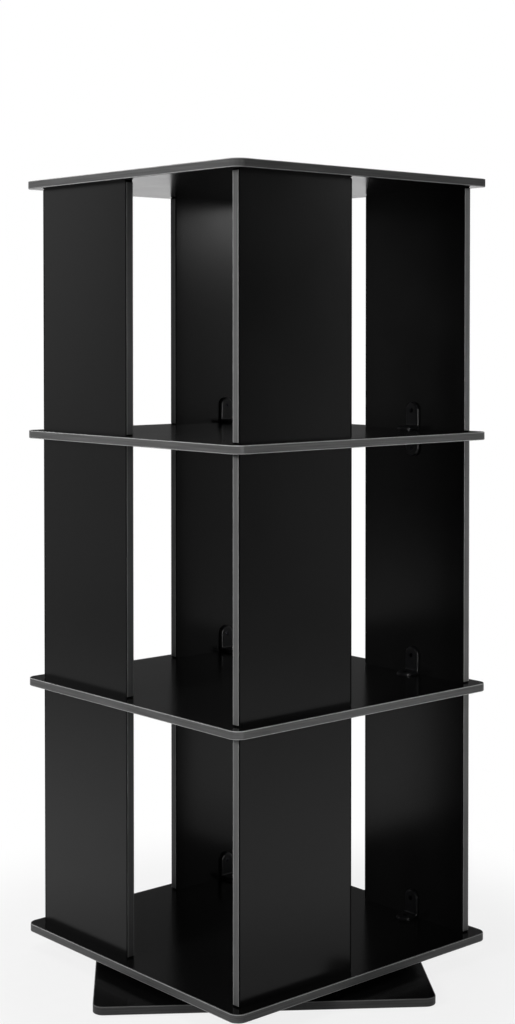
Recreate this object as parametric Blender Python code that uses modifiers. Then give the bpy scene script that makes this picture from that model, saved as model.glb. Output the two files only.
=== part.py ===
"""Revolving bookcase: three open tiers of black board that turn together on a square base board.

Lengths are in metres and +Z is up. The origin is on the floor, on the axis that the tower turns about.
The tower stands square to X and Y with its front towards -Y, and the base board under it is turned.
"""

from math import asin, cos, pi, radians, sin

import bmesh
import bpy

MM = 0.001

# Square boards of the tower
BOARD_SIDE = 500 * MM
BOARD_THICKNESS = 12 * MM
BOARD_CORNER_RADIUS = 16 * MM

# Side panels: one on each side of a tier, pushed to one corner, so that each side has one open bay
PANEL_WIDTH = 211 * MM
PANEL_THICKNESS = 12 * MM
PANEL_SETBACK = 20.5 * MM
CLEAR_HEIGHT = 368 * MM

# Base board on the floor
BASE_SIDE = 482 * MM
BASE_THICKNESS = 12 * MM
BASE_CORNER_RADIUS = 16 * MM
BASE_TURN = radians(-37.5)

# Softened edges of every board and panel
ARRIS = 0.8 * MM

# Plastic corner brackets, with round ends and one screw hole in each leg
BRACKET_WIDTH = 26 * MM
BRACKET_LONG_LEG = 42 * MM
BRACKET_SHORT_LEG = 30 * MM
BRACKET_THICKNESS = 5 * MM
BRACKET_FILLET = 2.5 * MM
SCREW_HOLE_DIAMETER = 4.2 * MM
COUNTERSINK_DIAMETER = 8.4 * MM

# Round foot pads under the base board
PAD_DIAMETER = 32 * MM
PAD_THICKNESS = 2.5 * MM
PAD_TAPER = 1 * MM
PAD_INSET = 45 * MM

# Ball swivel: two square steel plates with a ring of balls between them
PLATE_SIDE = 200 * MM
PLATE_THICKNESS = 2 * MM
PLATE_CORNER_RADIUS = 14 * MM
PLATE_SCREW_INSET = 14 * MM
PLATE_SCREW_HOLE_DIAMETER = 5 * MM
BALL_DIAMETER = 6 * MM
BALL_COUNT = 12
RACE_RADIUS = 70 * MM
RACE_WIDTH = 16 * MM
RACE_FLOOR = 0.7 * MM
RACE_LIFT = 0.4 * MM
CAGE_THICKNESS = 0.8 * MM
CAGE_MARGIN = 1 * MM
LIP_REACH = 7 * MM
LIP_THICKNESS = 1.5 * MM
COLLAR_WALL = 2 * MM
HOOK_OVERLAP = 3 * MM

# Clearances
SEAT_GAP = 0.3 * MM
BALL_PLAY = 0.3 * MM
CAGE_PLAY = 0.3 * MM
POCKET_PLAY = 0.25 * MM
HOOK_PLAY = 0.5 * MM
COLLAR_PLAY = 3 * MM

# Fineness of round shapes
CORNER_SEGMENTS = 6
BRACKET_END_SEGMENTS = 8
FILLET_SEGMENTS = 2
HOLE_SIDES = 8
PAD_SIDES = 24
RACE_STEPS = 48
GROOVE_SEGMENTS = 6
BALL_SEGMENTS = 10
BALL_RINGS = 6
WELD_DISTANCE = 0.01 * MM
CUTTER_OVERRUN = 1 * MM
SHARP_ANGLE = radians(35)
FLAT_ANGLE = radians(1)

TIERS = ("bottom", "middle", "top")
TIERS_UNDER_SHELVES = ("bottom", "middle")
BOARDS = ("bottom_board", "lower_shelf", "upper_shelf", "top_board")
SIDES = ("front", "right", "back", "left")

# Heights that follow from the sizes above
SWIVEL_HEIGHT = 2 * (PLATE_THICKNESS + RACE_FLOOR + BALL_PLAY) + BALL_DIAMETER
BASE_BOTTOM = PAD_THICKNESS + SEAT_GAP
BASE_TOP = BASE_BOTTOM + BASE_THICKNESS
SWIVEL_BOTTOM = BASE_TOP + SEAT_GAP
BALL_HEIGHT = SWIVEL_BOTTOM + SWIVEL_HEIGHT / 2
TOWER_BOTTOM = SWIVEL_BOTTOM + SWIVEL_HEIGHT + SEAT_GAP
TIER_PITCH = CLEAR_HEIGHT + BOARD_THICKNESS
PANEL_FACE = BOARD_SIDE / 2 - PANEL_SETBACK
PANEL_INSIDE = PANEL_FACE - PANEL_THICKNESS


def clear_scene():
    """Remove every object that the file starts with."""
    for item in list(bpy.data.objects):
        bpy.data.objects.remove(item, do_unlink=True)


def new_collection(name):
    """Add a collection to the scene."""
    collection = bpy.data.collections.new(name)
    bpy.context.scene.collection.children.link(collection)
    return collection


def new_axis(name, collection, turn=0.0):
    """Add an empty on the swivel's axis that carries the pieces of one body."""
    axis = bpy.data.objects.new(name, None)
    axis.rotation_euler.z = turn
    collection.objects.link(axis)
    return axis


def new_material(name, colour, roughness, metallic=0.0):
    """Add a plain surface with one colour, given in linear red, green and blue."""
    material = bpy.data.materials.new(name)
    material.use_nodes = True
    surface = material.node_tree.nodes["Principled BSDF"]
    surface.inputs["Base Color"].default_value = (*colour, 1.0)
    surface.inputs["Roughness"].default_value = roughness
    surface.inputs["Metallic"].default_value = metallic
    return material


def place(name, data, material, axis, location, turn=0.0, tip=0.0):
    """Add one piece to the bookcase: tipped about X, turned about Z, then moved, on its body's axis."""
    piece = bpy.data.objects.new(name, data)
    if not data.materials:
        data.materials.append(material)
    piece.location = location
    piece.rotation_euler = (tip, 0.0, turn)
    piece.parent = axis
    bookcase.objects.link(piece)
    return piece


def arc(centre, radius, start, end, segments):
    """Points along an arc, with both of its ends."""
    angles = [start + (end - start) * step / segments for step in range(segments + 1)]
    return [(centre[0] + radius * cos(angle), centre[1] + radius * sin(angle)) for angle in angles]


def circle(centre, radius, sides):
    """Points around a circle."""
    return arc(centre, radius, 0.0, 2 * pi, sides)[:-1]


def square_corners(reach):
    """The four corners of a square about the origin, anticlockwise from the first quadrant."""
    return [(reach, reach), (-reach, reach), (-reach, -reach), (reach, -reach)]


def rounded_square(side, radius):
    """Outline of a square with round corners."""
    outline = []
    for quarter, corner in enumerate(square_corners(side / 2 - radius)):
        start = quarter * pi / 2
        outline += arc(corner, radius, start, start + pi / 2, CORNER_SEGMENTS)
    return outline


def flat_shape(name, outlines, thickness):
    """Flat shape about z = 0. The first outline is its edge, and the others are holes."""
    curve = bpy.data.curves.new(name, "CURVE")
    curve.dimensions = "2D"
    curve.fill_mode = "BOTH"
    curve.extrude = thickness / 2
    for outline in outlines:
        spline = curve.splines.new("POLY")
        spline.points.add(len(outline) - 1)
        spline.use_cyclic_u = True
        for point, (x, y) in zip(spline.points, outline):
            point.co = (x, y, 0.0, 1.0)
    return curve


def soften_edges(piece):
    """Weld a piece's faces together and take its sharp edges off."""
    weld = piece.modifiers.new("weld", "WELD")
    weld.merge_threshold = WELD_DISTANCE
    bevel = piece.modifiers.new("arris", "BEVEL")
    bevel.width = ARRIS
    bevel.segments = 1
    bevel.limit_method = "ANGLE"
    bevel.angle_limit = SHARP_ANGLE


def helper(name, data):
    """Add a shape that only helps to make another: it is drawn as wire and isn't a piece."""
    shape = bpy.data.objects.new(name, data)
    shape.display_type = "WIRE"
    shape.hide_render = True
    cutters.objects.link(shape)
    return shape


def finished_mesh(shape):
    """The closed mesh of a helper shape with its modifiers, in its own place. The shape is removed."""
    bpy.context.view_layer.update()
    graph = bpy.context.evaluated_depsgraph_get()
    mesh = bpy.data.meshes.new_from_object(shape.evaluated_get(graph))
    mesh.transform(shape.matrix_world)
    bpy.data.objects.remove(shape, do_unlink=True)
    build = bmesh.new()
    build.from_mesh(mesh)
    bmesh.ops.remove_doubles(build, verts=build.verts, dist=WELD_DISTANCE)
    build.to_mesh(mesh)
    build.free()
    return mesh


def turned_shape(name, profile, closed, steps):
    """Helper shape turned about Z from a profile of radii and heights that runs down its outer side."""
    mesh = bpy.data.meshes.new(name)
    edges = [(index, index + 1) for index in range(len(profile) - 1)]
    if closed:
        edges.append((len(profile) - 1, 0))
    mesh.from_pydata([(radius, 0.0, height) for radius, height in profile], edges, [])
    shape = helper(name, mesh)
    screw = shape.modifiers.new("turn", "SCREW")
    screw.steps = steps
    screw.render_steps = steps
    screw.use_merge_vertices = True
    screw.merge_threshold = WELD_DISTANCE
    return shape


def combine(piece, other, operation):
    """Join another shape to a piece, or cut it out."""
    boolean = piece.modifiers.new(other.name, "BOOLEAN")
    boolean.operation = operation
    boolean.object = other


def mesh_from(build, name):
    """The mesh of a shape that was built step by step."""
    mesh = bpy.data.meshes.new(name)
    build.to_mesh(mesh)
    build.free()
    return mesh


def smooth(mesh):
    """Shade a round piece smooth, with its real edges kept sharp."""
    mesh.shade_smooth()
    mesh.set_sharp_from_angle(angle=SHARP_ANGLE)
    return mesh


def add_boards():
    """The four square boards that close the tiers from below and above."""
    shape = flat_shape("board", [rounded_square(BOARD_SIDE, BOARD_CORNER_RADIUS)], BOARD_THICKNESS)
    for level, name in enumerate(BOARDS):
        height = TOWER_BOTTOM + level * TIER_PITCH + BOARD_THICKNESS / 2
        soften_edges(place(name, shape, board_finish, tower_axis, (0.0, 0.0, height)))


def panel_mesh():
    """One upright panel, with its origin at the middle of its bottom edge."""
    height = CLEAR_HEIGHT - 2 * SEAT_GAP
    build = bmesh.new()
    bmesh.ops.create_cube(build, size=1.0)
    bmesh.ops.scale(build, verts=build.verts, vec=(PANEL_WIDTH, PANEL_THICKNESS, height))
    bmesh.ops.translate(build, verts=build.verts, vec=(0.0, 0.0, height / 2))
    return mesh_from(build, "panel")


def bracket_section():
    """Section across the bracket's bend: the short leg along X and the long leg along Y, with a fillet."""
    wall = BRACKET_THICKNESS
    middle = wall + BRACKET_FILLET
    hollow = arc((middle, middle), BRACKET_FILLET, 1.5 * pi, pi, FILLET_SEGMENTS)
    short_leg = [(0.0, 0.0), (BRACKET_SHORT_LEG, 0.0), (BRACKET_SHORT_LEG, wall)]
    long_leg = [(wall, BRACKET_LONG_LEG), (0.0, BRACKET_LONG_LEG)]
    return short_leg + hollow + long_leg


def is_end_corner(edge):
    """Whether an edge of the square-cut bracket runs through a leg's thickness at the leg's end."""
    first, second = (vertex.co for vertex in edge.verts)
    across = abs(first.x - second.x) < WELD_DISTANCE
    at_short_end = min(first.y, second.y) > BRACKET_SHORT_LEG - WELD_DISTANCE
    at_long_end = min(first.z, second.z) > BRACKET_LONG_LEG - WELD_DISTANCE
    return across and (at_short_end or at_long_end)


def round_leg_ends(mesh):
    """Bevel the corners at the end of each leg until they meet in a half circle."""
    build = bmesh.new()
    build.from_mesh(mesh)
    bmesh.ops.dissolve_limit(build, angle_limit=FLAT_ANGLE, verts=build.verts, edges=build.edges)
    corners = [edge for edge in build.edges if is_end_corner(edge)]
    bmesh.ops.bevel(build, geom=corners, offset=BRACKET_WIDTH / 2, offset_type="OFFSET",
                    segments=BRACKET_END_SEGMENTS // 2, profile=0.5, affect="EDGES", material=-1)
    bmesh.ops.remove_doubles(build, verts=build.verts, dist=WELD_DISTANCE)
    build.to_mesh(mesh)
    build.free()


def countersunk_hole(name):
    """Cutter for a screw hole through a bracket leg that lies on z = 0, with its countersink on top."""
    hole = SCREW_HOLE_DIAMETER / 2
    rim = COUNTERSINK_DIAMETER / 2
    profile = [
        (0.0, BRACKET_THICKNESS + CUTTER_OVERRUN),
        (rim + CUTTER_OVERRUN, BRACKET_THICKNESS + CUTTER_OVERRUN),
        (hole, BRACKET_THICKNESS - (rim - hole)),
        (hole, -CUTTER_OVERRUN),
        (0.0, -CUTTER_OVERRUN),
    ]
    return turned_shape(name, profile, False, HOLE_SIDES)


def bracket_mesh():
    """Corner bracket: the short leg lies on the board along +Y, and the long leg stands along +Z."""
    shape = helper("bracket", flat_shape("bracket", [bracket_section()], BRACKET_WIDTH))
    shape.rotation_euler = (pi / 2, 0.0, pi / 2)
    mesh = finished_mesh(shape)
    round_leg_ends(mesh)
    shape = helper("bracket", mesh)
    board_hole = countersunk_hole("board screw hole")
    board_hole.location.y = BRACKET_SHORT_LEG - BRACKET_WIDTH / 2
    panel_hole = countersunk_hole("panel screw hole")
    panel_hole.location.z = BRACKET_LONG_LEG - BRACKET_WIDTH / 2
    panel_hole.rotation_euler = (-pi / 2, 0.0, 0.0)
    combine(shape, board_hole, "DIFFERENCE")
    combine(shape, panel_hole, "DIFFERENCE")
    return smooth(finished_mesh(shape))


def add_tier(tier, level, panel, bracket):
    """Four panels around one tier. Each has a bracket at its foot, and one at its head if a shelf is above."""
    floor = TOWER_BOTTOM + level * TIER_PITCH + BOARD_THICKNESS
    along = -PANEL_FACE + PANEL_WIDTH / 2
    foot = floor + SEAT_GAP
    head = floor + CLEAR_HEIGHT - SEAT_GAP
    for quarter, side in enumerate(SIDES):
        turn = quarter * pi / 2
        name = f"{tier}_{side}_panel"
        middle = turned_about_z(along, -PANEL_FACE + PANEL_THICKNESS / 2, turn)
        inside = turned_about_z(along, -PANEL_INSIDE + SEAT_GAP, turn)
        soften_edges(place(name, panel, board_finish, tower_axis, (*middle, foot), turn))
        place(f"{name}_foot_bracket", bracket, bracket_finish, tower_axis, (*inside, foot), turn)
        if tier in TIERS_UNDER_SHELVES:
            place(f"{name}_head_bracket", bracket, bracket_finish, tower_axis, (*inside, head), turn, -pi / 2)


def turned_about_z(x, y, turn):
    """A point in plan, turned about the tower's axis."""
    return (x * cos(turn) - y * sin(turn), x * sin(turn) + y * cos(turn))


def add_base():
    """The square base board and the foot pads under its corners."""
    shape = flat_shape("base", [rounded_square(BASE_SIDE, BASE_CORNER_RADIUS)], BASE_THICKNESS)
    middle = (0.0, 0.0, BASE_BOTTOM + BASE_THICKNESS / 2)
    soften_edges(place("base_board", shape, board_finish, base_axis, middle))
    build = bmesh.new()
    bmesh.ops.create_cone(build, cap_ends=True, segments=PAD_SIDES, radius1=PAD_DIAMETER / 2 - PAD_TAPER,
                          radius2=PAD_DIAMETER / 2, depth=PAD_THICKNESS)
    pad = smooth(mesh_from(build, "pad"))
    for number, corner in enumerate(square_corners(BASE_SIDE / 2 - PAD_INSET), start=1):
        place(f"foot_pad_{number}", pad, pad_finish, base_axis, (*corner, PAD_THICKNESS / 2))


def groove():
    """Ball groove of the lower plate from its outer edge to its inner one, about the balls' own centre."""
    radius = BALL_DIAMETER / 2 + BALL_PLAY
    edge = asin((CAGE_THICKNESS / 2 + CAGE_PLAY) / radius)
    return arc((RACE_RADIUS, 0.0), radius, -edge, edge - pi, GROOVE_SEGMENTS)


def lip_inner_radius():
    """Inner edge of the upper plate's lip."""
    return RACE_RADIUS - RACE_WIDTH / 2 - LIP_REACH


def lower_race_profile():
    """Section of the lower plate's race and of the rolled collar that hooks over the upper plate's lip."""
    outer = RACE_RADIUS + RACE_WIDTH / 2
    inner = RACE_RADIUS - RACE_WIDTH / 2
    collar_outer = lip_inner_radius() - COLLAR_PLAY
    collar_inner = collar_outer - COLLAR_WALL
    hook = lip_inner_radius() + HOOK_OVERLAP
    race_top = -CAGE_THICKNESS / 2 - CAGE_PLAY
    underside = -SWIVEL_HEIGHT / 2 + RACE_LIFT
    web_top = -SWIVEL_HEIGHT / 2 + PLATE_THICKNESS
    hook_bottom = -race_top + LIP_THICKNESS + HOOK_PLAY
    hook_top = hook_bottom + LIP_THICKNESS
    return [
        (outer, race_top),
        (outer, underside),
        (collar_inner, underside),
        (collar_inner, hook_top),
        (hook, hook_top),
        (hook, hook_bottom),
        (collar_outer, hook_bottom),
        (collar_outer, web_top),
        (inner, web_top),
        (inner, race_top),
    ] + groove()[::-1]


def upper_race_profile():
    """Section of the upper plate's race and of the lip that the lower plate's collar holds down."""
    outer = RACE_RADIUS + RACE_WIDTH / 2
    inner = RACE_RADIUS - RACE_WIDTH / 2
    race_bottom = CAGE_THICKNESS / 2 + CAGE_PLAY
    top = SWIVEL_HEIGHT / 2 - RACE_LIFT
    return [
        (inner, top),
        (outer, top),
        (outer, race_bottom),
    ] + [(radius, -height) for radius, height in groove()] + [
        (lip_inner_radius(), race_bottom),
        (lip_inner_radius(), race_bottom + LIP_THICKNESS),
        (inner, race_bottom + LIP_THICKNESS),
    ]


def swivel_plate(name, race_profile, plate_level):
    """Square steel plate with screw holes at its corners and the race joined to it."""
    holes = [circle((0.0, 0.0), RACE_RADIUS, RACE_STEPS)]
    for corner in square_corners(PLATE_SIDE / 2 - PLATE_SCREW_INSET):
        holes.append(circle(corner, PLATE_SCREW_HOLE_DIAMETER / 2, HOLE_SIDES))
    outline = rounded_square(PLATE_SIDE, PLATE_CORNER_RADIUS)
    shape = helper(name, flat_shape(name, [outline] + holes, PLATE_THICKNESS))
    shape.location.z = plate_level
    shape = helper(name, finished_mesh(shape))
    combine(shape, turned_shape(f"{name} race", race_profile, True, RACE_STEPS), "UNION")
    return smooth(finished_mesh(shape))


def add_swivel():
    """The ball swivel: a lower plate on the base, an upper plate under the tower, and a cage of balls."""
    plate_level = (SWIVEL_HEIGHT - PLATE_THICKNESS) / 2
    centre = (0.0, 0.0, BALL_HEIGHT)
    lower = swivel_plate("lower plate", lower_race_profile(), -plate_level)
    place("swivel_lower_plate", lower, steel_finish, base_axis, centre)
    upper = swivel_plate("upper plate", upper_race_profile(), plate_level)
    place("swivel_upper_plate", upper, steel_finish, tower_axis, centre)
    spots = circle((0.0, 0.0), RACE_RADIUS, BALL_COUNT)
    rims = [RACE_RADIUS + RACE_WIDTH / 2 - CAGE_MARGIN, RACE_RADIUS - RACE_WIDTH / 2 + CAGE_MARGIN]
    outlines = [circle((0.0, 0.0), rim, RACE_STEPS) for rim in rims]
    outlines += [circle(spot, BALL_DIAMETER / 2 + POCKET_PLAY, BALL_SEGMENTS) for spot in spots]
    cage = helper("cage", flat_shape("cage", outlines, CAGE_THICKNESS))
    place("ball_cage", smooth(finished_mesh(cage)), cage_finish, cage_axis, centre)
    build = bmesh.new()
    bmesh.ops.create_uvsphere(build, u_segments=BALL_SEGMENTS, v_segments=BALL_RINGS,
                              radius=BALL_DIAMETER / 2)
    ball = smooth(mesh_from(build, "ball"))
    for number, spot in enumerate(spots, start=1):
        place(f"bearing_ball_{number:02d}", ball, ball_finish, cage_axis, (*spot, BALL_HEIGHT))


clear_scene()
bookcase = new_collection("revolving_bookcase")
cutters = new_collection("cutters")

base_axis = new_axis("base_axis", bookcase, BASE_TURN)
cage_axis = new_axis("cage_axis", bookcase)
tower_axis = new_axis("tower_axis", bookcase)

board_finish = new_material("black board", (0.012, 0.012, 0.013), 0.45)
bracket_finish = new_material("black bracket plastic", (0.014, 0.014, 0.014), 0.4)
steel_finish = new_material("zinc plated steel", (0.55, 0.56, 0.58), 0.35, 1.0)
ball_finish = new_material("polished steel", (0.65, 0.65, 0.66), 0.12, 1.0)
cage_finish = new_material("natural nylon", (0.6, 0.58, 0.52), 0.5)
pad_finish = new_material("dark rubber", (0.02, 0.02, 0.02), 0.8)

add_base()
add_swivel()
add_boards()
panel_shape = panel_mesh()
bracket_shape = bracket_mesh()
for tier_level, tier_name in enumerate(TIERS):
    add_tier(tier_name, tier_level, panel_shape, bracket_shape)
for leftover in list(cutters.objects):
    bpy.data.objects.remove(leftover, do_unlink=True)
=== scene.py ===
# %% [markdown]
# # A revolving bookcase, dressed for a photograph
# The bookcase is a tower of black boards that turns on a flat square base.
# Its solids come from the CAD model, each on the body that it moves with.
# This lesson keeps that frame still and gives each part the edges, screws and finish of the real one.

# %% Load the solids
from math import cos, pi, radians, sin

import bmesh
import bpy
from mathutils import Matrix, Vector


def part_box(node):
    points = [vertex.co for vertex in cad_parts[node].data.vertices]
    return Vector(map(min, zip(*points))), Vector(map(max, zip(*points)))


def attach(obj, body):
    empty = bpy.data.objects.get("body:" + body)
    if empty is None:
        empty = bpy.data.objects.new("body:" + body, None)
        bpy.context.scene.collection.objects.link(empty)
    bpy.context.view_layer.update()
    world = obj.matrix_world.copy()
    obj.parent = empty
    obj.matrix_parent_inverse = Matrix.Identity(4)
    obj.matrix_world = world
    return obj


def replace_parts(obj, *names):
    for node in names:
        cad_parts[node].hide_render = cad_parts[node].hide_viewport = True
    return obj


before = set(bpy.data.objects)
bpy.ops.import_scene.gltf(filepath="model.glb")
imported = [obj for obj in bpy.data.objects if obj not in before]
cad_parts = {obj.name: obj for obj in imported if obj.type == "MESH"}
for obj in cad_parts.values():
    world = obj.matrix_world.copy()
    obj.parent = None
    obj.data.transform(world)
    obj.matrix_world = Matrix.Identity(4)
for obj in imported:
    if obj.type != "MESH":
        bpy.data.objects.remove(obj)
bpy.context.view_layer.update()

scene = bpy.context.scene
MM = 0.001

# %% [markdown]
# ## Small tools for materials
# A colour is given as an sRGB hex value, but shaders count in linear light.
# One function makes that change, and one adds a node with its settings and links.
# A pattern's size is given in millimetres, because Object coordinates count in metres.

# %% Colour, node and scale helpers
RAMP_STOPS = (0.3, 0.7)


def linear(code):
    """An sRGB hex colour as linear RGBA."""
    parts = [int(code[i:i + 2], 16) / 255 for i in (1, 3, 5)]
    return [p / 12.92 if p <= 0.04045 else ((p + 0.055) / 1.055) ** 2.4 for p in parts] + [1.0]


def add(tree, kind, inputs=(), tones=(), **fields):
    """One node with its fields set. Each input gets a value, or a link where it is given a socket.

    The tones are the two sRGB colours that a colour ramp blends.
    """
    made = tree.nodes.new(kind)
    for field, value in fields.items():
        setattr(made, field, value)
    for name, value in dict(inputs).items():
        if isinstance(value, bpy.types.NodeSocket):
            tree.links.new(value, made.inputs[name])
        else:
            made.inputs[name].default_value = value
    for stop, tone in enumerate(tones):
        made.color_ramp.elements[stop].position = RAMP_STOPS[stop]
        made.color_ramp.elements[stop].color = linear(tone)
    return made


def per_metre(size):
    """Texture scale for a pattern of this size in millimetres."""
    return 1.0 / (size * MM)


def start_material(name):
    """An empty node material, with its tree and the piece's own coordinates."""
    material = bpy.data.materials.new(name)
    material.use_nodes = True
    tree = material.node_tree
    tree.nodes.clear()
    coords = add(tree, "ShaderNodeTexCoord")
    return material, tree, coords.outputs["Object"]


print("mid grey #808080 in linear light:", round(linear("#808080")[0], 3))

# %% [markdown]
# ## Black melamine laminate
# The boards are wood fibre panels with a sheet of black melamine pressed on each face.
# The press plate leaves a fine pearl texture, so the black has a soft satin sheen and no grain.
# It could be one dark colour, but then every reflection would be as smooth as glass.
# Noise in the roughness and a little bump break the sheen as the pressed pearl does.

# %% Black melamine laminate


def melamine_laminate(name):
    """Pressed melamine: deep black that lifts to a satin grey where light grazes it."""
    material, tree, place = start_material(name)
    # The real pearl is about 0.5 mm. It is drawn at 3 mm, so that it shows at all in the render.
    pearl = add(tree, "ShaderNodeTexNoise", {
        "Vector": place, "Scale": per_metre(3), "Detail": 3.0, "Roughness": 0.6,
    })
    # Uneven press heat leaves broad clouds of slightly different gloss, a hand's width across.
    cloud = add(tree, "ShaderNodeTexNoise", {"Vector": place, "Scale": per_metre(90), "Detail": 2.0})
    gloss = add(tree, "ShaderNodeMapRange", {
        "Value": cloud.outputs["Fac"], "To Min": 0.17, "To Max": 0.23,
    })
    grain = add(tree, "ShaderNodeMapRange", {
        "Value": pearl.outputs["Fac"], "To Min": -0.015, "To Max": 0.015,
    })
    rough = add(tree, "ShaderNodeMath", {
        0: gloss.outputs["Result"], 1: grain.outputs["Result"],
    }, operation="ADD")
    bump = add(tree, "ShaderNodeBump", {
        "Height": pearl.outputs["Fac"], "Strength": 0.06, "Distance": 0.1 * MM,
    })
    black = add(tree, "ShaderNodeValToRGB", {"Fac": cloud.outputs["Fac"]}, tones=("#090909", "#0c0c0c"))
    shader = add(tree, "ShaderNodeBsdfPrincipled", {
        "Base Color": black.outputs["Color"],
        "Roughness": rough.outputs["Value"],
        "Normal": bump.outputs["Normal"],
        "Specular IOR Level": 0.18,
    })
    add(tree, "ShaderNodeOutputMaterial", {"Surface": shader.outputs["BSDF"]})
    return material


laminate = melamine_laminate("black melamine laminate, pressed")
print("made", laminate.name)

# %% [markdown]
# ## Grey edge band and black glue
# The base's band and arris are darker, as painted shade for the dimmer light by the floor.
# The cut edges are covered with a strip of dark grey ABS, 1.4 mm thick.
# The strip is drawn through a die, which leaves faint lines along its length.
# It could be one flat grey, but then it would look like paint and not like a strip.
# A lighter tone shows where the trimmer has scraped the plastic, and it also paints a highlight on each
# edge.
# Black hot melt glue shows beside a panel's ends. It is made in the same way, with almost no sheen.
# The lines are noise that is squeezed across the strip: across Z on a board, across X and Y on a panel.

# %% Edge bands and glue


def edge_band(name, squeeze, tones, sheen=0.2):
    """Drawn plastic: half matt, with faint lines along its length."""
    material, tree, place = start_material(name)
    drawn = add(tree, "ShaderNodeMapping", {"Vector": place, "Scale": squeeze})
    # Lines about 2 mm apart and 80 mm long.
    lines = add(tree, "ShaderNodeTexNoise", {
        "Vector": drawn.outputs["Vector"], "Scale": per_metre(80), "Detail": 4.0,
    })
    # Worn and cleaner spots of about 4 mm keep the gloss from being even.
    speck = add(tree, "ShaderNodeTexNoise", {"Vector": place, "Scale": per_metre(4), "Detail": 2.0})
    rough = add(tree, "ShaderNodeMapRange", {
        "Value": speck.outputs["Fac"], "To Min": 0.34, "To Max": 0.5,
    })
    bump = add(tree, "ShaderNodeBump", {
        "Height": lines.outputs["Fac"], "Strength": 0.1, "Distance": 0.1 * MM,
    })
    grey = add(tree, "ShaderNodeValToRGB", {"Fac": lines.outputs["Fac"]}, tones=tones)
    shader = add(tree, "ShaderNodeBsdfPrincipled", {
        "Base Color": grey.outputs["Color"],
        "Roughness": rough.outputs["Result"],
        "Normal": bump.outputs["Normal"],
        "Specular IOR Level": sheen,
    })
    add(tree, "ShaderNodeOutputMaterial", {"Surface": shader.outputs["BSDF"]})
    return material


LINE_SQUEEZE = 40.0
along_board = (1.0, 1.0, LINE_SQUEEZE)
along_panel = (LINE_SQUEEZE, LINE_SQUEEZE, 1.0)
BAND_NAME = "ABS edge band, drawn, "
ARRIS_NAME = "ABS edge band, scraped arris, "
board_band = edge_band(BAND_NAME + "on boards", along_board, ("#474747", "#5d5d5d"))
# Scraped arris: lighter where the trimmer scraped, and also a painted highlight along the edge.
board_arris_scraped_highlight = edge_band(ARRIS_NAME + "on boards", along_board, ("#a0a0a0", "#b0b0b0"))
# The base's darker band and arris are painted shade, for the dim light low by the floor.
base_band_painted_shade = edge_band(BAND_NAME + "darkened as painted shade, on the base", along_board, ("#343434", "#434343"))
base_arris_highlight_and_shade = edge_band(ARRIS_NAME + "darkened as painted shade, on the base", along_board, ("#656565", "#707070"))
panel_band = edge_band(BAND_NAME + "on panels", along_panel, ("#535353", "#636363"))
# The panels' scraped arris is also a painted highlight on their ends.
panel_arris_scraped_highlight = edge_band(ARRIS_NAME + "on panels", along_panel, ("#8a8a8a", "#969696"))
glue_margin = edge_band("hot melt glue, black and matt", along_panel, ("#050505", "#070707"), sheen=0.03)
print("made bands for boards, base and panels, and", glue_margin.name)

# %% [markdown]
# ## From a bmesh to a piece
# Every new part is shaped in a bmesh with Blender's own operators.
# Then it becomes an object that stays at the origin, with its place in its mesh, and rides on a body.
# Smooth shading alone would bend the light on wide faces beside small rounds.
# So a Weighted Normal modifier keeps wide faces flat, while the rounds stay smooth.

# %% Piece helpers
SMOOTH_BELOW = radians(40)
SHARP_ABOVE = radians(60)


def block(width, depth, height):
    """A cube about the origin that is scaled to three sizes."""
    bm = bmesh.new()
    bmesh.ops.create_cube(bm, size=1.0)
    bmesh.ops.scale(bm, verts=bm.verts, vec=(width, depth, height))
    return bm


def is_sharp(edge):
    """Whether two faces meet at this edge in a clear corner."""
    return len(edge.link_faces) == 2 and edge.calc_face_angle() > SHARP_ABOVE


def round_edges(bm, edges, radius, steps):
    """Rounds edges to a radius with the bevel operator."""
    bmesh.ops.bevel(bm, geom=edges, offset=radius, offset_type="OFFSET", segments=steps,
                    profile=0.5, affect="EDGES", material=-1)
    bm.normal_update()


def to_object(name, bm):
    """A bmesh as an object in the scene, at the origin."""
    mesh = bpy.data.meshes.new(name)
    bm.to_mesh(mesh)
    bm.free()
    made = bpy.data.objects.new(name, mesh)
    scene.collection.objects.link(made)
    return made


def new_piece(name, bm, finishes, body):
    """Turns a bmesh into a smooth piece that rides on a body and takes its finish from a slot."""
    piece = to_object(name, bm)
    piece.data.shade_smooth()
    piece.data.set_sharp_from_angle(angle=SMOOTH_BELOW)
    for finish in finishes:
        piece.data.materials.append(finish)
    weigh = piece.modifiers.new("flat faces stay flat", "WEIGHTED_NORMAL")
    weigh.keep_sharp = True
    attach(piece, body)
    return piece


print("pieces are smooth below", round(SMOOTH_BELOW, 3), "radians")

# %% [markdown]
# ## Square boards
# A board is a square with small round corners, a band round its edge and a thin glue line beside it.
# The band could be painted on a plain block, but then its edge would catch no light of its own.
# So a block gets two bevels, which round its corners and then its arrises.
# Insets on both faces draw the band's thickness and press in the glue line.
# The trimmer scraped the outer half of each arris; its lighter tone also paints the highlight on the edge.
# The base is the same board in another size, turned on the floor; its darker band and arris are painted
# shade.

# %% Board shape
# Slot 2 is the scraped arris, which also paints the edge highlight.
FACE, BAND, SCRAPED_AND_HIGHLIGHT = 0, 1, 2
CORNER_RADIUS = 16 * MM
CORNER_STEPS = 14
ARRIS_RADIUS = 1.1 * MM
ARRIS_STEPS = 4
BAND_THICKNESS = 1.4 * MM
GLUE_LINE = 0.3 * MM
UPRIGHT_LEAN = 0.01
SCRAPED_HIGHLIGHT_LEAN = 0.7
FLAT_LEAN = 0.99


def board_finish(lean):
    """The finish of a face that leans from 0, on the edge, to 1, on the top or the underside."""
    if lean > FLAT_LEAN:
        return FACE
    return SCRAPED_AND_HIGHLIGHT if UPRIGHT_LEAN < lean < SCRAPED_HIGHLIGHT_LEAN else BAND


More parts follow.
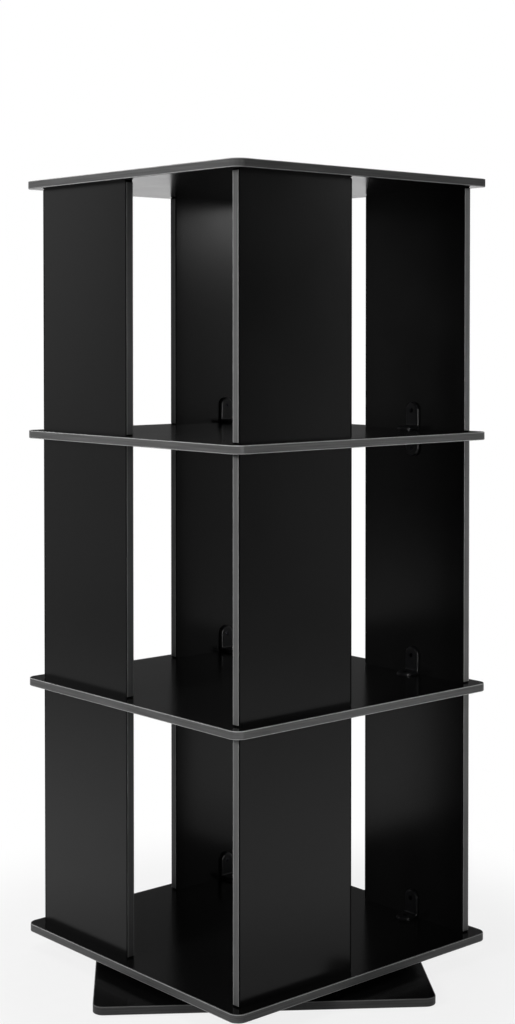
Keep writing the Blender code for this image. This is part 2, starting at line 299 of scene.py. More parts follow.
def board_shape(side, thickness):
    """A square board about the origin, with faces marked as laminate, band and scraped arris with painted
    highlight.
    """
    bm = block(side, side, thickness)
    upright = [e for e in bm.edges if abs(e.verts[0].co.z - e.verts[1].co.z) > thickness / 2]
    round_edges(bm, upright, CORNER_RADIUS, CORNER_STEPS)
    round_edges(bm, [e for e in bm.edges if is_sharp(e)], ARRIS_RADIUS, ARRIS_STEPS)
    for face in bm.faces:
        face.material_index = board_finish(abs(face.normal.z))
    for flat in [f for f in bm.faces if f.material_index == FACE]:
        end_of_band = bmesh.ops.inset_region(bm, faces=[flat], thickness=BAND_THICKNESS - ARRIS_RADIUS,
                                             use_even_offset=True)
        for face in end_of_band["faces"]:
            face.material_index = BAND
        for press in (-GLUE_LINE / 2, GLUE_LINE / 2):
            bmesh.ops.inset_region(bm, faces=[flat], thickness=GLUE_LINE / 2, depth=press,
                                   use_even_offset=True)
    return bm


print("band:", round(BAND_THICKNESS / MM, 1), "mm, corner radius:", round(CORNER_RADIUS / MM, 1), "mm")

# %% Set the boards


def add_board(node, side, turn, body, finishes):
    """A finished board in the place of a CAD board."""
    low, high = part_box(node)
    bm = board_shape(side, high.z - low.z)
    spot = Matrix.Translation((low + high) / 2) @ Matrix.Rotation(turn, 4, "Z")
    bmesh.ops.transform(bm, matrix=spot, verts=bm.verts)
    piece = new_piece(f"{node}_banded", bm, finishes, body)
    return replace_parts(piece, node)


TOWER_BOARDS = ("bottom_board", "lower_shelf", "upper_shelf", "top_board")
BASE_SIDE = 482 * MM
BASE_TURN = radians(-37.5)
for node in TOWER_BOARDS:
    low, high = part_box(node)
    add_board(node, high.x - low.x, 0.0, "tower", [laminate, board_band, board_arris_scraped_highlight])
# The base takes the darker band and arris, which paint its shade.
base = add_board("base_board", BASE_SIDE, BASE_TURN, "base", [laminate, base_band_painted_shade, base_arris_highlight_and_shade])
print("boards:", len(TOWER_BOARDS) + 1, "faces in one:", len(base.data.polygons))

# %% [markdown]
# ## Upright panels
# Four panels stand in each tier, and each leaves half of its side open.
# Their ends have the same grey band, with a black margin of glue beside it on both broad faces.
# A bevel rounds the four corners, which leaves a small dark notch where a panel meets a board.
# Heads and feet stay plain, tight against the boards. The solids keep a gap of 0.3 mm there.
# The dressed panels close it, because white light would leak through it.
# The margins could be separate strips, but cuts with the bisect operator keep a panel in one piece.
# They draw the glue line, which is pressed in, and the light margins on each end: scraped, and a painted
# highlight.

# %% Panel shape
GLUE = 3
PANEL_CORNER = 3.0 * MM
PANEL_CORNER_STEPS = 5
PANEL_ARRIS = 0.3 * MM
# Light margins on the panel ends: scraped, and also a painted highlight.
SCRAPED_HIGHLIGHT_MARGIN = 1.4 * MM
GLUE_MARGIN = 2.6 * MM
SEAM_REACH = 0.01 * MM
CUT_REACH = SEAM_REACH / 10
CORNER_LEAN = 0.3
END_LEAN = 0.95


def slice_at(bm, spot, way):
    """Cuts edges into a shape where a plane crosses it."""
    whole = bm.verts[:] + bm.edges[:] + bm.faces[:]
    bmesh.ops.bisect_plane(bm, geom=whole, plane_co=spot, plane_no=way, dist=CUT_REACH)


def panel_finish(face, seam, margin):
    """Laminate between the glue lines and round the corners, glue beside an end, and band on it."""
    middle = face.calc_center_median()
    if abs(middle.x) < seam + GLUE_LINE / 2 or abs(face.normal.z) > CORNER_LEAN:
        return FACE
    if abs(face.normal.x) < END_LEAN:
        return GLUE
    return BAND if abs(middle.y) < margin else SCRAPED_AND_HIGHLIGHT


def panel_shape(width, thickness, height):
    """A panel about the origin, with its width along X and banded ends at left and right."""
    bm = block(width, thickness, height)
    corners = [e for e in bm.edges if abs(e.verts[0].co.y - e.verts[1].co.y) > thickness / 2]
    round_edges(bm, corners, PANEL_CORNER, PANEL_CORNER_STEPS)
    inner = width / 2 - PANEL_CORNER
    rim = [e for e in bm.edges if is_sharp(e) and abs(e.verts[0].co.x + e.verts[1].co.x) / 2 > inner]
    round_edges(bm, rim, PANEL_ARRIS, ARRIS_STEPS)
    seam = width / 2 - GLUE_MARGIN - GLUE_LINE / 2
    margin = thickness / 2 - SCRAPED_HIGHLIGHT_MARGIN
    for end in (-1, 1):
        for step in (-1, 0, 1):
            slice_at(bm, (end * seam + step * GLUE_LINE / 2, 0, 0), (1, 0, 0))
        slice_at(bm, (0, end * margin, 0), (0, 1, 0))
    pressed = [v for v in bm.verts if abs(abs(v.co.x) - seam) < SEAM_REACH]
    bmesh.ops.scale(bm, verts=pressed, vec=(1, 1 - GLUE_LINE / thickness, 1))
    bm.normal_update()
    for face in bm.faces:
        face.material_index = panel_finish(face, seam, margin)
    return bm


print("glue margin:", round(GLUE_MARGIN / MM, 1), "mm, panel corner:", round(PANEL_CORNER / MM, 1), "mm")

# %% Set the panels
SEAT_GAP = 0.3 * MM
TIERS = ("bottom", "middle", "top")
SIDES = ("front", "right", "back", "left")
PANELS = [f"{tier}_{side}_panel" for tier in TIERS for side in SIDES]
PANEL_FINISHES = [laminate, panel_band, panel_arris_scraped_highlight, glue_margin]


def quarter_turn(name):
    """How far a part's side is turned from the front one, anticlockwise from above."""
    return next(i for i, side in enumerate(SIDES) if f"_{side}_" in name) * pi / 2


def front_box(name):
    """A part's box after it has been turned back to the front side."""
    back = Matrix.Rotation(-quarter_turn(name), 3, "Z")
    corners = [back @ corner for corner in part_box(name)]
    low = Vector(map(min, *corners))
    high = Vector(map(max, *corners))
    return low, high


for node in PANELS:
    low, high = front_box(node)
    width, thickness, height = high - low
    bm = panel_shape(width, thickness, height + 2 * SEAT_GAP)
    spot = Matrix.Rotation(quarter_turn(node), 4, "Z") @ Matrix.Translation((low + high) / 2)
    bmesh.ops.transform(bm, matrix=spot, verts=bm.verts)
    piece = new_piece(f"{node}_banded", bm, PANEL_FINISHES, "tower")
    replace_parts(piece, node)
print("panels:", len(PANELS), "faces in one:", len(piece.data.polygons))

# %% [markdown]
# ## Moulded corner brackets
# A black plastic bracket with half-round ends joins each panel to the board below it.
# Another joins it to the shelf above it. The top board has none: hidden dowels hold it.
# A moulded part has no sharp rims, so plain bent plates would look wrong.
# These rims are rounded through most of the wall, and light draws a broad arc on them.
# A small block is extruded into two legs. Bevels give the hollow in the bend, the round ends and the rims.
# Two countersunk holes are cut by Boolean modifiers, as a drill would leave them.

# %% Bracket plastic


def moulded_plastic(name):
    """Moulded polypropylene: black with a fine matt skin from the mould's spark-eroded wall."""
    material, tree, place = start_material(name)
    # The spark pits are about 0.1 mm. They are drawn at 0.8 mm, so that they show in a close view.
    pits = add(tree, "ShaderNodeTexVoronoi", {"Vector": place, "Scale": per_metre(0.8)})
    # Melt that flowed into the mould leaves streaks of about 14 mm in the gloss.
    flow = add(tree, "ShaderNodeTexNoise", {"Vector": place, "Scale": per_metre(14), "Detail": 2.0})
    rough = add(tree, "ShaderNodeMapRange", {
        "Value": flow.outputs["Fac"], "To Min": 0.26, "To Max": 0.36,
    })
    bump = add(tree, "ShaderNodeBump", {
        "Height": pits.outputs["Distance"], "Strength": 0.15, "Distance": 0.08 * MM,
    })
    black = add(tree, "ShaderNodeValToRGB", {"Fac": flow.outputs["Fac"]}, tones=("#0a0a0b", "#0f0f10"))
    shader = add(tree, "ShaderNodeBsdfPrincipled", {
        "Base Color": black.outputs["Color"],
        "Roughness": rough.outputs["Result"],
        "Normal": bump.outputs["Normal"],
        "IOR": 1.49,
        "Specular IOR Level": 0.2,
    })
    add(tree, "ShaderNodeOutputMaterial", {"Surface": shader.outputs["BSDF"]})
    return material


bracket_plastic = moulded_plastic("black polypropylene, moulded")
print("made", bracket_plastic.name)

# %% Bracket legs
BRACKET_WALL = 5 * MM
FACING = 0.9


def bracket_legs(width, short_leg, long_leg):
    """Two square legs from one block: the short one lies along +Y and the long one stands along +Z."""
    wall = BRACKET_WALL
    bm = block(width, wall, wall)
    bmesh.ops.translate(bm, verts=bm.verts, vec=(0, wall / 2, wall / 2))
    bm.normal_update()
    ways = (Vector((0, 1, 0)), Vector((0, 0, 1)))
    ends = [next(f for f in bm.faces if f.normal.dot(way) > FACING) for way in ways]
    for end, way, reach in zip(ends, ways, (short_leg, long_leg)):
        drawn = bmesh.ops.extrude_discrete_faces(bm, faces=[end])["faces"][0]
        bmesh.ops.translate(bm, verts=drawn.verts, vec=way * (reach - wall))
    bm.normal_update()
    return bm


SAMPLE_BRACKET = "middle_back_panel_foot_bracket"
low, high = front_box(SAMPLE_BRACKET)
BRACKET_WIDTH, SHORT_LEG, LONG_LEG = high - low
print("bracket width and legs:", [round(s / MM, 1) for s in high - low], "mm")

# %% Bracket rounds
BRACKET_FILLET = 2.5 * MM
FILLET_STEPS = 6
END_STEPS = 16
RIM_RADIUS = 3.6 * MM
RIM_STEPS = 7
NEAR = 0.02 * MM


def runs(edge, test):
    """Whether both ends of an edge pass a test."""
    return all(test(v.co) for v in edge.verts)


def bracket_shape(width, short_leg, long_leg):
    """The moulded bracket before its holes are cut."""
    wall = BRACKET_WALL
    bm = bracket_legs(width, short_leg, long_leg)
    bend = [e for e in bm.edges if runs(e, lambda p: abs(p.y - wall) < NEAR and abs(p.z - wall) < NEAR)]
    round_edges(bm, bend, BRACKET_FILLET, FILLET_STEPS)
    far = [e for e in bm.edges if abs(e.verts[0].co.x - e.verts[1].co.x) < NEAR
           and runs(e, lambda p: p.y > short_leg - NEAR or p.z > long_leg - NEAR)]
    round_edges(bm, far, width / 2 - NEAR / 2, END_STEPS)
    bmesh.ops.remove_doubles(bm, verts=bm.verts, dist=NEAR)
    bm.normal_update()
    rim = [e for e in bm.edges if is_sharp(e) and runs(e, lambda p: min(p.y, p.z) > wall - NEAR)]
    round_edges(bm, rim, RIM_RADIUS, RIM_STEPS)
    return bm


bracket_body = bracket_shape(BRACKET_WIDTH, SHORT_LEG, LONG_LEG)
print("bracket faces before its holes:", len(bracket_body.faces))

# %% Countersunk holes
HOLE_DIAMETER = 4.2 * MM
SINK_DIAMETER = 8.4 * MM
SINK_OVERRUN = 0.5 * MM
DRILL_SIDES = 32


def drill(spot):
    """Cutter for a countersunk hole that opens along +Z at the bracket's face."""
    hole = HOLE_DIAMETER / 2
    sink = SINK_DIAMETER / 2
    depth = sink - hole
    bm = bmesh.new()
    bmesh.ops.create_cone(bm, cap_ends=True, segments=DRILL_SIDES, radius1=hole,
                          radius2=sink + SINK_OVERRUN, depth=depth + SINK_OVERRUN)
    bmesh.ops.translate(bm, verts=bm.verts, vec=(0, 0, BRACKET_WALL - depth / 2 + SINK_OVERRUN / 2))
    low = [f for f in bm.faces if f.normal.z < -FACING]
    drawn = bmesh.ops.extrude_discrete_faces(bm, faces=low)["faces"]
    bmesh.ops.translate(bm, verts=drawn[0].verts, vec=(0, 0, -BRACKET_WALL))
    bmesh.ops.transform(bm, matrix=spot, verts=bm.verts)
    return bm


def cut_away(bm, cutters):
    """The mesh that is left of a shape when the cutters are taken out of it."""
    shape = to_object("scratch", bm)
    tools = [to_object("scratch", cutter) for cutter in cutters]
    for tool in tools:
        cut = shape.modifiers.new("cut", "BOOLEAN")
        cut.operation = "DIFFERENCE"
        cut.solver = "EXACT"
        cut.object = tool
    depsgraph = bpy.context.evaluated_depsgraph_get()
    mesh = bpy.data.meshes.new_from_object(shape.evaluated_get(depsgraph))
    for passing in [shape] + tools:
        bpy.data.objects.remove(passing)
    return mesh


BOARD_SCREW = Matrix.Translation((0, SHORT_LEG - BRACKET_WIDTH / 2, 0))
PANEL_SCREW = Matrix.Translation((0, 0, LONG_LEG - BRACKET_WIDTH / 2)) @ Matrix.Rotation(-pi / 2, 4, "X")
SCREW_SPOTS = (BOARD_SCREW, PANEL_SCREW)
bracket_mesh = cut_away(bracket_body, [drill(spot) for spot in SCREW_SPOTS])
print("bracket faces with its holes:", len(bracket_mesh.polygons))

# %% [markdown]
# ## Countersunk screws
# Each leg is held by a countersunk screw with a cross recess, in black zinc.
# The head is a short line of points, spun once round its axis.
# The cross could be painted on, but then it would stay flat in raking light.
# So the recess is two tapered blades, taken out by Boolean modifiers, and it has real depth.

# %% Screw finish


def plated_steel(name, tones, rough, patch):
    """Plated steel: a metal whose crystals turn the light a little from patch to patch."""
    material, tree, place = start_material(name)
    crystals = add(tree, "ShaderNodeTexVoronoi", {"Vector": place, "Scale": per_metre(patch)})
    haze = add(tree, "ShaderNodeTexNoise", {"Vector": place, "Scale": per_metre(patch * 4), "Detail": 3.0})
    dull = add(tree, "ShaderNodeMapRange", {
        "Value": haze.outputs["Fac"], "To Min": rough[0], "To Max": rough[1],
    })
    bump = add(tree, "ShaderNodeBump", {
        "Height": haze.outputs["Fac"], "Strength": 0.08, "Distance": 0.1 * MM,
    })
    metal = add(tree, "ShaderNodeValToRGB", {"Fac": crystals.outputs["Color"]}, tones=tones)
    shader = add(tree, "ShaderNodeBsdfPrincipled", {
        "Base Color": metal.outputs["Color"],
        "Metallic": 1.0,
        "Roughness": dull.outputs["Result"],
        "Normal": bump.outputs["Normal"],
    })
    add(tree, "ShaderNodeOutputMaterial", {"Surface": shader.outputs["BSDF"]})
    return material


black_zinc = plated_steel("black zinc plated steel", ("#1d1d20", "#28282b"), rough=(0.36, 0.48), patch=1.2)
print("made", black_zinc.name)

# %% Screw shape
SPIN_STEPS = 28
RECESS_SPAN = 4.4 * MM
RECESS_WIDTH = 1.0 * MM
RECESS_DEPTH = 1.6 * MM
RECESS_TAPER = 0.45


def spun(profile):
    """A solid that is spun from points (radius, height), which start and end on the axis."""
    bm = bmesh.new()
    line = [bm.verts.new((radius, 0, height)) for radius, height in profile]
    edges = [bm.edges.new(pair) for pair in zip(line, line[1:])]
    bmesh.ops.spin(bm, geom=line + edges, cent=(0, 0, 0), axis=(0, 0, 1), angle=2 * pi,
                   steps=SPIN_STEPS, use_merge=True)
    bmesh.ops.remove_doubles(bm, verts=bm.verts, dist=NEAR / 4)
    bmesh.ops.recalc_face_normals(bm, faces=bm.faces)
    return bm


def recess_blade(top, turn):
    """One blade of the cross recess, narrower at its foot."""
    bm = block(RECESS_SPAN, RECESS_WIDTH, 2 * RECESS_DEPTH)
    foot = [v for v in bm.verts if v.co.z < 0]
    bmesh.ops.scale(bm, verts=foot, vec=(RECESS_TAPER, 1, 1))
    spot = Matrix.Translation((0, 0, top)) @ Matrix.Rotation(turn, 4, "Z")
    bmesh.ops.transform(bm, matrix=spot, verts=bm.verts)
    return bm


def screw_mesh(profile):
    """A spun screw with its cross recess."""
    top = profile[0][1]
    return cut_away(spun(profile), [recess_blade(top, 0.0), recess_blade(top, pi / 2)])


HEAD_RADIUS = 3.95 * MM
SHANK_RADIUS = 1.95 * MM
# From the low crown of the head, down its cone to the shank.
SUNK_PROFILE = [
    (0, BRACKET_WALL + 0.25 * MM),
    (HEAD_RADIUS * 0.6, BRACKET_WALL + 0.2 * MM),
    (HEAD_RADIUS * 0.92, BRACKET_WALL + 0.05 * MM),
    (HEAD_RADIUS, BRACKET_WALL - 0.1 * MM),
    (HEAD_RADIUS, BRACKET_WALL - 0.35 * MM),
    (SHANK_RADIUS, BRACKET_WALL - 2.3 * MM),
    (SHANK_RADIUS, 0),
    (0, 0),
]
sunk_screw = screw_mesh(SUNK_PROFILE)
print("screw faces:", len(sunk_screw.polygons))

# %% [markdown]
# ## Setting brackets and screws
# All twenty brackets are alike, and a head bracket is a foot bracket that is tipped over.
# Each could be modelled where it sits, but then a change would have to be made twenty times.
# So each one is the same mesh, brought to its place by one matrix, and its two screws use that matrix too.

# %% Set the brackets


def stamp(bm, mesh, spot):
    """Adds a copy of a mesh to a bmesh at a place."""
    before = len(bm.verts)
    bm.from_mesh(mesh)
    bm.verts.ensure_lookup_table()
    bmesh.ops.transform(bm, matrix=spot, verts=bm.verts[before:])


def bracket_spot(node):
    """Where a bracket's bend goes, and how it is turned and tipped."""
    low, high = front_box(node)
    at_foot = node.endswith("foot_bracket")
    bend = Vector(((low.x + high.x) / 2, low.y, low.z if at_foot else high.z))
    tip = Matrix.Rotation(0.0 if at_foot else -pi / 2, 4, "X")
    return Matrix.Rotation(quarter_turn(node), 4, "Z") @ Matrix.Translation(bend) @ tip


BRACKETS = [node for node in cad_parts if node.endswith("_bracket")]
for node in BRACKETS:
    spot = bracket_spot(node)
    bm = bmesh.new()
    stamp(bm, bracket_mesh, spot)
    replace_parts(new_piece(f"{node}_moulded", bm, [bracket_plastic], "tower"), node)
    bm = bmesh.new()
    for screw_spot in SCREW_SPOTS:
        stamp(bm, sunk_screw, spot @ screw_spot)
    new_piece(f"{node}_screws", bm, [black_zinc], "tower")
print("brackets set:", len(BRACKETS), "each with", len(SCREW_SPOTS), "screws")

# %% [markdown]
# ## The ball swivel
# Two pressed steel plates hold a ring of balls in grooved races, in the dark gap over the base.
# They could be modelled again here, but the CAD solids already have the races, cage and rolled collar.
# So the solids stay, and with the foot pads they only get their finishes.
# Pan head screws are added at the plates' corners, on the side that the gap shows.

# %% Swivel and foot finishes


def dull_plastic(name, tones, rough, speckle):
    """A plain moulded or cut polymer: soft, even and matt, with a fine speckle."""
    material, tree, place = start_material(name)
    speck = add(tree, "ShaderNodeTexNoise", {"Vector": place, "Scale": per_metre(speckle), "Detail": 3.0})
    dull = add(tree, "ShaderNodeMapRange", {
        "Value": speck.outputs["Fac"], "To Min": rough[0], "To Max": rough[1],
    })
    bump = add(tree, "ShaderNodeBump", {
        "Height": speck.outputs["Fac"], "Strength": 0.2, "Distance": 0.1 * MM,
    })
    polymer = add(tree, "ShaderNodeValToRGB", {"Fac": speck.outputs["Fac"]}, tones=tones)
    shader = add(tree, "ShaderNodeBsdfPrincipled", {
        "Base Color": polymer.outputs["Color"],
        "Roughness": dull.outputs["Result"],
        "Normal": bump.outputs["Normal"],
    })
    add(tree, "ShaderNodeOutputMaterial", {"Surface": shader.outputs["BSDF"]})
    return material


ZINC, STEEL = ("#b4b8bd", "#cdd0d4"), ("#c9cacc", "#d9dadb")
NYLON, RUBBER = ("#cfcabb", "#dcd8cb"), ("#19191a", "#242425")
white_zinc = plated_steel("bright zinc plated steel, pressed", ZINC, rough=(0.26, 0.4), patch=6.0)
ball_steel = plated_steel("hardened steel, polished", STEEL, rough=(0.08, 0.16), patch=1.5)
cage_nylon = dull_plastic("natural nylon, moulded", NYLON, rough=(0.42, 0.56), speckle=1.5)
pad_rubber = dull_plastic("dark rubber, cut from sheet", RUBBER, rough=(0.7, 0.88), speckle=1.0)
SOLID_FINISHES = {"swivel": white_zinc, "bearing": ball_steel, "ball": cage_nylon, "foot": pad_rubber}
finished = [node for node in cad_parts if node.split("_")[0] in SOLID_FINISHES]
for node in finished:
    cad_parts[node].material_slots[0].material = SOLID_FINISHES[node.split("_")[0]]
print("solids that stay, with new finishes:", len(finished))

# %% Plate screws
PLATE_THICKNESS = 2 * MM
PLATE_SCREW_REACH = 86 * MM * 2 ** 0.5
PLATE_CORNERS = 4
PAN_RADIUS = 4.4 * MM
PAN_HEIGHT = 2.3 * MM
PAN_RIM = 0.2 * MM
# From the domed crown, down to the plate and through it.
PAN_PROFILE = [
    (0, PAN_HEIGHT),
    (PAN_RADIUS * 0.45, PAN_HEIGHT * 0.97),
    (PAN_RADIUS * 0.8, PAN_HEIGHT * 0.8),
    (PAN_RADIUS * 0.96, PAN_HEIGHT * 0.5),
    (PAN_RADIUS, PAN_RIM),
    (PAN_RADIUS, 0),
    (SHANK_RADIUS, 0),
    (SHANK_RADIUS, -PLATE_THICKNESS),
    (0, -PLATE_THICKNESS),
]
pan_screw = screw_mesh(PAN_PROFILE)


def add_plate_screws(node, body, turn, face_up):
    """Pan head screws at the corners of a swivel plate."""
    low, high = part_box(node)
    level = low.z + PLATE_THICKNESS if face_up else high.z - PLATE_THICKNESS
    tip = Matrix.Rotation(0.0 if face_up else pi, 4, "X")
    bm = bmesh.new()
    for corner in range(PLATE_CORNERS):
        way = turn + pi / 4 + corner * pi / 2
        spot = Matrix.Translation((PLATE_SCREW_REACH * cos(way), PLATE_SCREW_REACH * sin(way), level))
        stamp(bm, pan_screw, spot @ tip)
    new_piece(f"{node}_screws", bm, [white_zinc], body)


add_plate_screws("swivel_lower_plate", "base", BASE_TURN, True)
add_plate_screws("swivel_upper_plate", "tower", 0.0, False)
print("screws in each plate:", PLATE_CORNERS, "faces in one:", len(pan_screw.polygons))

# %% [markdown]
# ## Floor
# The photograph has a white ground, with only a pale shadow under the bookcase.
# The floor is painted a pale grey, takes the shadow, and turns to plain white further out.
# It could all be white paint under strong lamps, but those would wash out the black boards.
# A Light Path node gives the white to the camera and to the sheen. The paint alone lights things.
# In the sheen the white is a pool that gets dimmer further out, as a floor under lamps does.

# %% Floor paint
FADE_START = 0.36
FADE_END = 0.72
NEAR_WHITE = 0.84
NEAR_SHEEN = 0.5
POOL_START = 1.0
POOL_END = 3.0
POOL_EDGE = 0.42


def eye_rays(tree, *names):
    """1 for rays of the named kinds, and 0 for the light that falls on things."""
    path = add(tree, "ShaderNodeLightPath").outputs
    kinds = path[names[0]]
    for name in names[1:]:
        either = add(tree, "ShaderNodeMath", {0: kinds, 1: path[name]}, operation="MAXIMUM")
        kinds = either.outputs["Value"]
    return kinds


def floor_paint(name):
    """Matt paint, pale grey with a faint cloud, that fades to the white ground away from the bookcase."""
    material, tree, place = start_material(name)
    # A roller leaves patches of about 30 mm.
    patch = add(tree, "ShaderNodeTexNoise", {"Vector": place, "Scale": per_metre(30), "Detail": 3.0})
    grey = add(tree, "ShaderNodeValToRGB", {"Fac": patch.outputs["Fac"]}, tones=("#c0c0c0", "#c6c6c6"))
    paint = add(tree, "ShaderNodeBsdfDiffuse", {"Color": grey.outputs["Color"]})
    away = add(tree, "ShaderNodeVectorMath", {"Vector": place}, operation="LENGTH")
    straight = eye_rays(tree, "Is Camera Ray", "Is Transmission Ray")
    near = add(tree, "ShaderNodeMapRange", {"Value": straight, "To Min": NEAR_SHEEN, "To Max": NEAR_WHITE})
    fade = add(tree, "ShaderNodeMapRange", {
        "Value": away.outputs["Value"],
        "From Min": FADE_START,
        "From Max": FADE_END,
        "To Min": near.outputs["Result"],
    }, interpolation_type="SMOOTHSTEP")
    seen = eye_rays(tree, "Is Camera Ray", "Is Glossy Ray", "Is Transmission Ray")
    share = add(tree, "ShaderNodeMath", {0: fade.outputs["Result"], 1: seen}, operation="MULTIPLY")
    pool = add(tree, "ShaderNodeMapRange", {
        "Value": away.outputs["Value"],
        "From Min": POOL_START,
        "From Max": POOL_END,
        "To Min": 1.0,
        "To Max": POOL_EDGE,
    })
    glow = add(tree, "ShaderNodeMath", {0: pool.outputs["Result"], 1: straight}, operation="MAXIMUM")
    white = add(tree, "ShaderNodeEmission", {"Strength": glow.outputs["Value"]})
    mix = add(tree, "ShaderNodeMixShader", {
        "Fac": share.outputs["Value"], 1: paint.outputs["BSDF"], 2: white.outputs["Emission"],
    })
    add(tree, "ShaderNodeOutputMaterial", {"Surface": mix.outputs["Shader"]})
    return material


pale_paint = floor_paint("matt floor paint, rolled, pale grey")
print("made", pale_paint.name)

# %% Lay the floor
FLOOR_REACH = 4.0
FLOOR_SIDES = 64


def stage_piece(name, bm, material):
    """A part of the studio, which isn't part of the bookcase."""
    made = to_object(name, bm)
    made.data.materials.append(material)
    return made


bm = bmesh.new()
bmesh.ops.create_circle(bm, cap_ends=True, radius=FLOOR_REACH, segments=FLOOR_SIDES)
stage_piece("floor", bm, pale_paint)
print("floor reaches", FLOOR_REACH, "m")

# %% [markdown]
# ## White paper and dim room
# Black board shows little more than what it mirrors, so the surroundings draw its faces.
# A room that is white all round would turn them all grey, but the photograph has greys and deep blacks.
# So two tall wings of white paper stand on the right and on the left. The upright faces mirror their ends.
# A wing gets brighter upwards, and so does the sheen of the tiers.
# Far behind, a low white sheet runs round below the eye, and the top board's underside mirrors it.
# The tops of the boards look over its head and mirror the dim room, so they stay dark.
# The camera doesn't see the paper, because other views look from behind it. The world is white there.

# %% White paper
AMBIENT = 0.1
SHADE_START = 0.5
SHADE_END = 1.5


def white_paper(name, at_foot):
    """Lit white paper: white at its head in a reflection, and dim as a source of light."""
    material, tree, place = start_material(name)
    height = add(tree, "ShaderNodeSeparateXYZ", {"Vector": place})
    shade = add(tree, "ShaderNodeMapRange", {
        "Value": height.outputs["Z"],
        "From Min": SHADE_START,
        "From Max": SHADE_END,
        "To Min": at_foot,
    })
    mirrored = eye_rays(tree, "Is Glossy Ray")
    strength = add(tree, "ShaderNodeMapRange", {
        "Value": mirrored, "To Min": AMBIENT, "To Max": shade.outputs["Result"],
    })
    glow = add(tree, "ShaderNodeEmission", {"Strength": strength.outputs["Result"]})
    add(tree, "ShaderNodeOutputMaterial", {"Surface": glow.outputs["Emission"]})
    return material


wing_paper = white_paper("white studio paper, lit from above", at_foot=0.55)
low_paper = white_paper("white studio paper, lit evenly", at_foot=1.0)
print("made", wing_paper.name, "and", low_paper.name)

# %% Stand the paper
PAPER_STEPS = 48
PAPER_START = radians(41.4)
PAPER_SPAN = radians(179.4)
WING_SPAN = radians(30)
WING_RADIUS = 4.0
WING_HEIGHTS = (0.0, 3.4)
LOW_RADIUS = 12.0
LOW_HEIGHTS = (-1.5, 0.75)


def paper_wall(name, radius, start, span, heights, material):
    """Paper that stands in an arc about the bookcase, hidden from the camera."""
    bm = bmesh.new()
    foot, head = (bm.verts.new((radius, 0.0, height)) for height in heights)
    line = bm.edges.new((foot, head))
    bmesh.ops.spin(bm, geom=[foot, head, line], cent=(0, 0, 0), axis=(0, 0, 1), angle=span,
                   steps=PAPER_STEPS)
    bmesh.ops.rotate(bm, verts=bm.verts, cent=(0, 0, 0), matrix=Matrix.Rotation(start, 3, "Z"))
    stage_piece(name, bm, material).visible_camera = False


LEFT_START = PAPER_START + PAPER_SPAN - WING_SPAN
paper_wall("right_wing", WING_RADIUS, PAPER_START, WING_SPAN, WING_HEIGHTS, wing_paper)
paper_wall("left_wing", WING_RADIUS, LEFT_START, WING_SPAN, WING_HEIGHTS, wing_paper)
paper_wall("low_sweep", LOW_RADIUS, PAPER_START, PAPER_SPAN, LOW_HEIGHTS, low_paper)
print("wings stand at", WING_RADIUS, "m and the low sheet at", LOW_RADIUS, "m")

# %% Dim room
world = bpy.data.worlds.new("white ground in a dim room")
world.use_nodes = True
scene.world = world
tree = world.node_tree
tree.nodes.clear()
seen = eye_rays(tree, "Is Camera Ray", "Is Transmission Ray")
level = add(tree, "ShaderNodeMath", {0: seen, 1: AMBIENT}, operation="MAXIMUM")
ground = add(tree, "ShaderNodeBackground", {
    "Color": linear("#ffffff"), "Strength": level.outputs["Value"],
})
add(tree, "ShaderNodeOutputWorld", {"Surface": ground.outputs["Background"]})
print("ambient light:", AMBIENT)

# %% [markdown]
# ## Lamps
# Soft boxes stand on the left and on the right and hang above, as in a plain studio.
# One strong lamp could light it all, but it would leave hard shadows and burn out the grey edges.
# Grids narrow the left and the right box, so that the low edges stay darker than the high ones.
# A fill behind the bookcase lights it for views of its back.
# The larger lamps are kept out of the sheen, because the top board would mirror them as white blots.
# Two show in it: the right one, and a small one at the back that puts a soft patch on the top left panel.
# Light linking keeps that small one on the top panels, as a flag would, and off the top board.

# %% Lamps


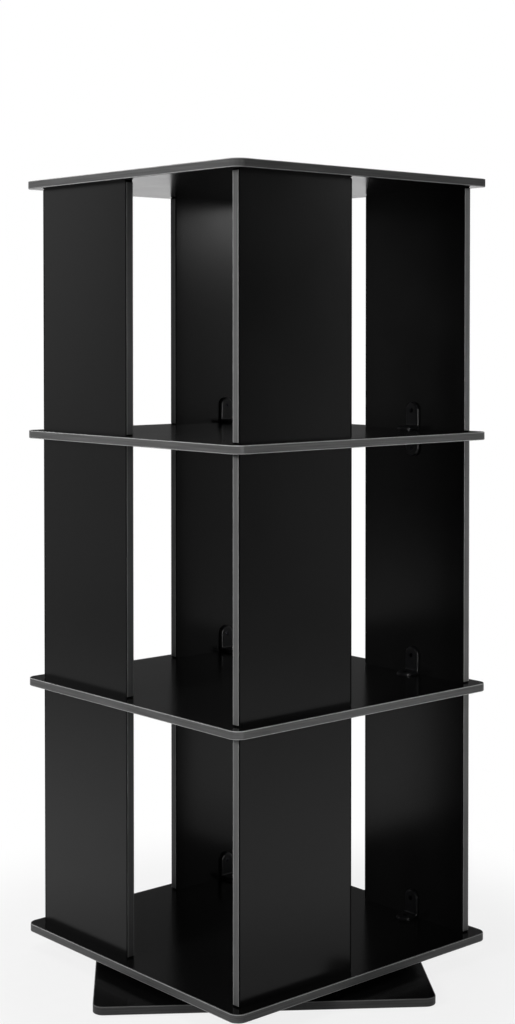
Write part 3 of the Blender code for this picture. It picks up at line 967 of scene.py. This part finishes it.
def soft_box(name, spot, aim, size, power, in_sheen=False, spread=pi):
    """A square area lamp that looks at a point, in the sheen or not. A grid narrows its spread."""
    lamp = bpy.data.lights.new(name, "AREA")
    lamp.shape = "SQUARE"
    lamp.size = size
    lamp.energy = power
    lamp.spread = spread
    made = bpy.data.objects.new(name, lamp)
    scene.collection.objects.link(made)
    made.location = spot
    made.rotation_euler = (Vector(aim) - Vector(spot)).to_track_quat("-Z", "Y").to_euler()
    made.visible_glossy = in_sheen
    return made


MIDDLE = (0.0, 0.0, 0.6)
LEFT_AIM = (-0.1, -0.25, 0.85)
BACK_AIM = (0.0, 0.1, 1.0)
LEFT_GRID = radians(60)
RIGHT_GRID = radians(26)
soft_box("left soft box", (0.1, -2.9, 1.7), LEFT_AIM, size=0.8, power=8.9, spread=LEFT_GRID)
soft_box("right soft box", (2.9, 0.0, 0.75), MIDDLE, size=0.8, power=1.6, in_sheen=True, spread=RIGHT_GRID)
soft_box("overhead soft box", (-0.3, -0.5, 3.2), MIDDLE, size=1.6, power=36.0)
back_box = soft_box("back soft box", (1.16, 1.5, 1.44), BACK_AIM, size=0.5, power=4.4, in_sheen=True)
soft_box("rear fill", (-2.1, 2.1, 1.7), MIDDLE, size=1.2, power=30.0)

flagged = bpy.data.collections.new("pieces that the back soft box lights")
for node in PANELS:
    if node.startswith("top_"):
        flagged.objects.link(bpy.data.objects[f"{node}_banded"])
back_box.light_linking.receiver_collection = flagged

# %% [markdown]
# ## Camera
# The camera stands a little below the top board, so that the board's underside shows.
# It could be set by eye, but then the edges would run off from those in the photograph.
# So its place, lens and shift were worked out from the straight edges in the photograph.

# %% Camera
CAMERA_PLACE = (1.9968, -1.7420, 0.9485)
CAMERA_TURN = radians(48.593)
CAMERA_DIP = radians(1.376)
lens = bpy.data.cameras.new("camera")
lens.lens = 61.32
lens.shift_x = -0.0067
lens.shift_y = -0.1341
camera = bpy.data.objects.new("camera", lens)
scene.collection.objects.link(camera)
camera.location = CAMERA_PLACE
camera.rotation_euler = (pi / 2 - CAMERA_DIP, 0.0, CAMERA_TURN)
scene.camera = camera
scene.view_settings.view_transform = "Standard"
print("camera at", CAMERA_PLACE, "lens", round(lens.lens, 2), "mm")
